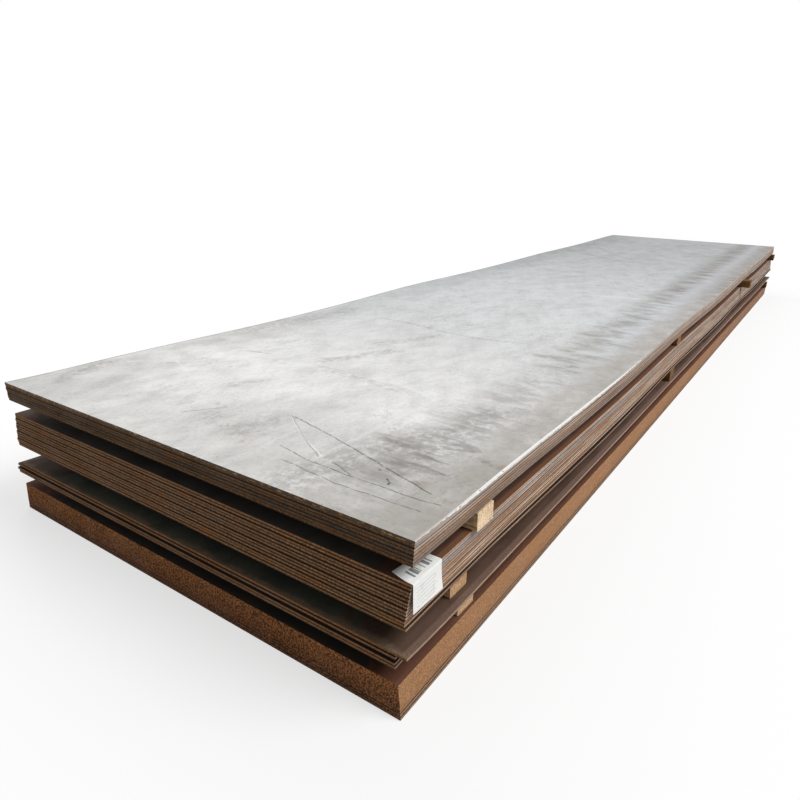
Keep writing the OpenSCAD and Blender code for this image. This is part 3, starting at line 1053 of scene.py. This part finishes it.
@dataclass
class PaperTag:
    """A paper tag folded over the edge of the second pack, its inner corner and its foot curled."""

    node: str = "paper_tag"
    width: float = 0.105
    top: float = 0.050
    drop: float = 0.069
    thickness: float = 0.0003
    fold: float = 0.0016
    columns: int = 30
    rows: int = 48
    corner_lift: float = 0.010
    foot_flare: float = 0.005
    lift_powers: Point = (1.5, 2.0)
    flare_power: float = 2.5
    ripple: float = 0.0006
    smooth: float = math.radians(40.0)

    def build(self) -> Piece:
        """Make the sheet from a grid that follows the fold.

        Returns:
            The tag.
        """
        low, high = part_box(self.node)
        verts, faces, flats = [], [], []
        for row in range(self.rows + 1):
            for column in range(self.columns + 1):
                u, v = column / self.columns, row / self.rows
                verts.append(self.point(u, v, low, high))
                flats.append((u * self.width, v * (self.top + self.drop), 0.0))
        for row in range(self.rows):
            for column in range(self.columns):
                a = row * (self.columns + 1) + column
                b = a + self.columns + 1
                faces.append((a, b, b + 1, a + 1))
        mesh = bpy.data.meshes.new("paper_tag_sheet")
        mesh.from_pydata(verts, [], faces)
        flat = mesh.attributes.new("flat", "FLOAT_VECTOR", "POINT")
        for index, value in enumerate(flats):
            flat.data[index].vector = value
        piece = bpy.data.objects.new("paper_tag_sheet", mesh)
        bpy.context.scene.collection.objects.link(piece)
        select_only(piece)
        wall = piece.modifiers.new("paper", "SOLIDIFY")
        wall.thickness = self.thickness
        wall.offset = 0.0
        bpy.ops.object.modifier_apply(modifier=wall.name)
        bpy.ops.object.shade_smooth_by_angle(angle=self.smooth)
        return piece

    def point(self, u: float, v: float, low: Vector, high: Vector) -> Vector:
        """Place one point of the sheet.

        Args:
            u: The share of the width, from the near end.
            v: The share of the length, from the inner edge.
            low: The lowest corner of the CAD tag.
            high: Its highest corner.

        Returns:
            The point in the shared frame.
        """
        run = v * (self.top + self.drop)
        bend = self.fold * math.pi / 2
        start = self.top - bend / 2
        wave = self.ripple * noise.noise(Vector((u * 4.0, v * 5.0, 3.0)))
        x = low.x + u * (high.x - low.x)
        half = self.thickness / 2
        face, roof = low.y + half, high.z - half
        if run < start:
            across, inward = self.lift_powers
            lift = self.corner_lift * (1 - u) ** across * (1 - run / start) ** inward
            return Vector((x, face + self.fold + start - run, roof + lift + abs(wave)))
        if run < start + bend:
            angle = (run - start) / self.fold
            inward, down = 1 - math.sin(angle), 1 - math.cos(angle)
            return Vector((x, face + self.fold * inward, roof - self.fold * down))
        below = (run - start - bend) / (self.top + self.drop - start - bend)
        flare = self.foot_flare * below**self.flare_power * (0.3 + 0.7 * u)
        return Vector((x, face - flare - abs(wave) * below, roof - self.fold - (run - start - bend)))

    def dress(self, piece: Piece) -> None:
        """Give the tag its finish and its place."""
        finish_piece(piece, self.node, Paper().material())


@dataclass
class Studio:
    """A plain pale floor, a white surround and soft lamps."""

    floor_half: float = 14.0
    floor_drop: float = 0.0005
    sky: float = 0.28
    bounce: Colour = (176, 176, 176)
    floor_white: Colour = (252, 252, 252)

    def build(self) -> None:
        """Lay the floor, light the world and hang the lamps."""
        bpy.ops.object.select_all(action="DESELECT")
        bpy.ops.mesh.primitive_plane_add(size=2 * self.floor_half, location=(0.0, 0.0, -self.floor_drop))
        floor = bpy.context.active_object
        floor.name = "studio_floor"
        bpy.ops.object.transform_apply(location=True, rotation=True, scale=True)
        floor.data.materials.append(self.floor_material())
        self.world()
        self.lamp("key", (0.2, -7.4, 9.0), (-0.5, 0.0, 0.3), 6.0, 1150.0)
        self.lamp("fill", (2.5, 8.0, 5.0), (0.0, 0.0, 0.2), 5.0, 240.0)

    def seen(self, g: Graph) -> Socket:
        """Tell rays that show the surround from those that light the object."""
        rays = g.put("ShaderNodeLightPath").outputs
        shown = g.math("MAXIMUM", rays["Is Camera Ray"], rays["Is Glossy Ray"])
        return g.math("MAXIMUM", shown, rays["Is Transmission Ray"])

    def floor_material(self) -> Material:
        """Build the floor's finish, which keeps the shadow near the stack and is white further out.

        Returns:
            The material of the floor.
        """
        g = Graph(bpy.data.materials.new("pale_floor"))
        x, y, _ = g.split(g.place())
        past_end = g.math("MAXIMUM", g.math("SUBTRACT", g.math("ABSOLUTE", x), HALF_LENGTH), 0.0)
        past_side = g.math("MAXIMUM", g.math("SUBTRACT", g.math("ABSOLUTE", y), HALF_WIDTH), 0.0)
        away = g.length(g.join(past_end, past_side))
        lit = g.put("ShaderNodeBsdfDiffuse", {"Color": linear(self.floor_white)}).outputs[0]
        dim = g.put("ShaderNodeBsdfDiffuse", {"Color": linear(self.bounce)}).outputs[0]
        glow = g.put("ShaderNodeEmission", {"Strength": 1.0}).outputs[0]
        white = g.rise(away, 0.0, 0.9, 0.66, 1.0)
        shown = g.put("ShaderNodeMixShader", {0: white, 1: lit, 2: glow}).outputs[0]
        both = g.put("ShaderNodeMixShader", {0: self.seen(g), 1: dim, 2: shown}).outputs[0]
        g.put("ShaderNodeOutputMaterial", {0: both})
        return g.owner

    def world(self) -> None:
        """Make a surround that looks white and lights softly."""
        world = bpy.data.worlds.new("studio_surround")
        bpy.context.scene.world = world
        g = Graph(world)
        strength = g.rise(self.seen(g), 0.0, 1.0, self.sky, 1.0)
        sky = g.put("ShaderNodeBackground", {"Color": (1.0, 1.0, 1.0, 1.0), "Strength": strength})
        g.put("ShaderNodeOutputWorld", {0: sky.outputs[0]})

    def lamp(self, name: str, place: Place, aim: Place, size: float, power: float) -> None:
        """Hang a soft square lamp.

        Args:
            name: The lamp's name.
            place: Where it hangs.
            aim: What it points at.
            size: The length of its sides.
            power: Its power in watts.
        """
        data = bpy.data.lights.new(name, "AREA")
        data.size = size
        data.energy = power
        lamp = bpy.data.objects.new(name, data)
        lamp.location = place
        lamp.rotation_mode = "QUATERNION"
        lamp.rotation_quaternion = (Vector(aim) - Vector(place)).to_track_quat("-Z", "Y")
        bpy.context.scene.collection.objects.link(lamp)


@dataclass
class Portrait:
    """The camera at the photograph's viewing angle."""

    place: Place = (-3.82439, -1.28273, 1.08018)
    ahead: Place = (0.779826, 0.514168, -0.357074)
    roll: float = math.radians(1.11065)
    lens: float = 28.3527
    sensor: float = 36.0
    shift: Point = (-0.016066, 0.007787)

    def build(self) -> None:
        """Set the scene's camera and its view transform."""
        data = bpy.data.cameras.new("portrait")
        data.lens = self.lens
        data.sensor_width = self.sensor
        data.shift_x, data.shift_y = self.shift
        data.clip_end = 200.0
        camera = bpy.data.objects.new("portrait", data)
        camera.location = self.place
        camera.rotation_mode = "QUATERNION"
        turn = Vector(self.ahead).to_track_quat("-Z", "Y")
        camera.rotation_quaternion = turn @ Quaternion((0.0, 0.0, 1.0), self.roll)
        bpy.context.scene.collection.objects.link(camera)
        bpy.context.scene.camera = camera
        bpy.context.scene.view_settings.view_transform = "Standard"


TOP_PACK = PackSteel(
    name="top_pack_edges",
    count=6,
    side=(
        (0.0, (152, 138, 128)),
        (0.3, (148, 134, 124)),
        (0.5, (164, 122, 88)),
        (0.65, (148, 133, 124)),
        (1.0, (144, 126, 111)),
    ),
    end=((0.0, (98, 76, 54)), (0.35, (94, 72, 51)), (0.6, (80, 68, 53)), (1.0, (112, 79, 47))),
    face=(80, 74, 68),
    face_rust=(100, 72, 54),
    face_side=(98, 74, 60),
    lip=(150, 98, 52),
    lip_share=0.45,
    end_reach=0.008,
    side_reach=0.06,
    variety=(0.12, 0.22),
    streaks=0.22,
    joint=(0.75, 0.95),
    seam=0.28,
    grain=0.3,
    speckle=0.35,
    glint=0.6,
    strip=(112, 78, 54),
    lit_strip_reach=0.013,
    end_banding_depth=0.75,
    dust_share=0.7,
    seed=3.0,
)
SECOND_PACK = PackSteel(
    name="second_pack_edges",
    count=13,
    side=(
        (0.00, (196, 144, 102)),
        (0.08, (190, 178, 170)),
        (0.28, (190, 176, 166)),
        (0.36, (184, 136, 96)),
        (0.48, (190, 164, 144)),
        (0.60, (172, 130, 96)),
        (0.72, (192, 164, 142)),
        (0.84, (166, 124, 90)),
        (1.00, (186, 156, 130)),
    ),
    end=((0.0, (146, 108, 74)), (0.5, (132, 102, 74)), (1.0, (140, 104, 70))),
    face=(66, 62, 56),
    face_rust=(104, 76, 54),
    face_side=(94, 66, 54),
    lip=(172, 108, 54),
    lip_share=0.55,
    end_reach=0.006,
    side_reach=0.16,
    variety=(0.08, 0.4),
    streaks=0.24,
    joint=(0.95, 1.0),
    seam=0.42,
    grain=0.34,
    speckle=0.35,
    glint=1.0,
    strip=(114, 77, 55),
    lit_strip_reach=0.013,
    end_banding_depth=0.95,
    dust_share=0.55,
    seed=11.0,
)
THIRD_PACK = PackSteel(
    name="third_pack_edges",
    count=4,
    side=((0.0, (180, 158, 142)), (1.0, (154, 122, 100))),
    end=((0.0, (140, 100, 66)), (1.0, (130, 96, 66))),
    face=(76, 76, 68),
    face_rust=(122, 102, 80),
    face_side=(86, 65, 54),
    lip=(170, 106, 52),
    lip_share=0.4,
    end_reach=0.018,
    side_reach=0.18,
    variety=(0.06, 0.1),
    streaks=0.15,
    joint=(0.95, 0.95),
    seam=0.4,
    grain=0.25,
    speckle=0.25,
    glint=0.2,
    strip=(116, 92, 80),
    lit_strip_reach=0.016,
    end_banding_depth=0.7,
    dust_share=0.7,
    seed=23.0,
)
BOTTOM_PACK = PackSteel(
    name="bottom_pack_edges",
    count=10,
    side=((0.0, (164, 121, 85)), (0.7, (160, 119, 85)), (1.0, (146, 120, 100))),
    end=((0.0, (146, 95, 54)), (0.6, (126, 81, 47)), (1.0, (104, 70, 48))),
    # Dark face colour, partly painted shade for the top of this pack, which lies in the gap under the third
    # pack
    face=(46, 40, 34),
    face_rust=(104, 70, 50),
    face_side=(97, 61, 46),
    lip=(176, 124, 82),
    lip_share=0.12,
    end_reach=0.008,
    side_reach=0.16,
    variety=(0.02, 0.03),
    streaks=0.05,
    joint=(0.0, 0.5),
    seam=0.22,
    grain=0.34,
    speckle=0.85,
    glint=0.0,
    strip=(104, 71, 54),
    lit_strip_reach=0.011,
    end_banding_depth=0.1,
    dust_share=0.75,
    seed=37.0,
    dust=(131, 98, 76),
)
PACKS: tuple[PlatePack, ...] = (
    PlatePack("top_plate", MillScale(), "mill_scale", easing=0.0004),
    PlatePack("top_pack", TOP_PACK, "rusted_edges", play=0.5),
    PlatePack("second_pack", SECOND_PACK, "rusted_edges", play=0.3),
    PlatePack("third_pack", THIRD_PACK, "rusted_edges"),
    PlatePack("bottom_pack", BOTTOM_PACK, "rusted_edges", easing=0.0001, play=0.0, shut=7),
)
# Rows further in between the packs get high values, which darken them as painted shade as well as weathering
AGES_AND_SHADE: dict[Level, tuple[float, ...]] = {
    Level.UPPER: (0.05, 0.85, 0.9, 0.95),
    Level.MIDDLE: (0.6, 0.88, 0.95, 0.95),
    Level.LOWER: (0.48, 0.88, 0.92, 0.95),
}


def main() -> None:
    """Set up the portrait and build every piece in order."""
    logging.basicConfig(level=logging.INFO)
    Portrait().build()
    Studio().build()
    for pack in PACKS:
        pack.dress(pack.build())
    pine = Pine().material()
    for number, level in enumerate(Level):
        for row, age_and_shade in enumerate(AGES_AND_SHADE[level], start=1):
            batten = Batten(level, row, age_and_shade, seed=10 * number + row)
            batten.dress(batten.build(), pine)
    tag = PaperTag()
    tag.dress(tag.build())


if __name__ == "__main__":
    main()
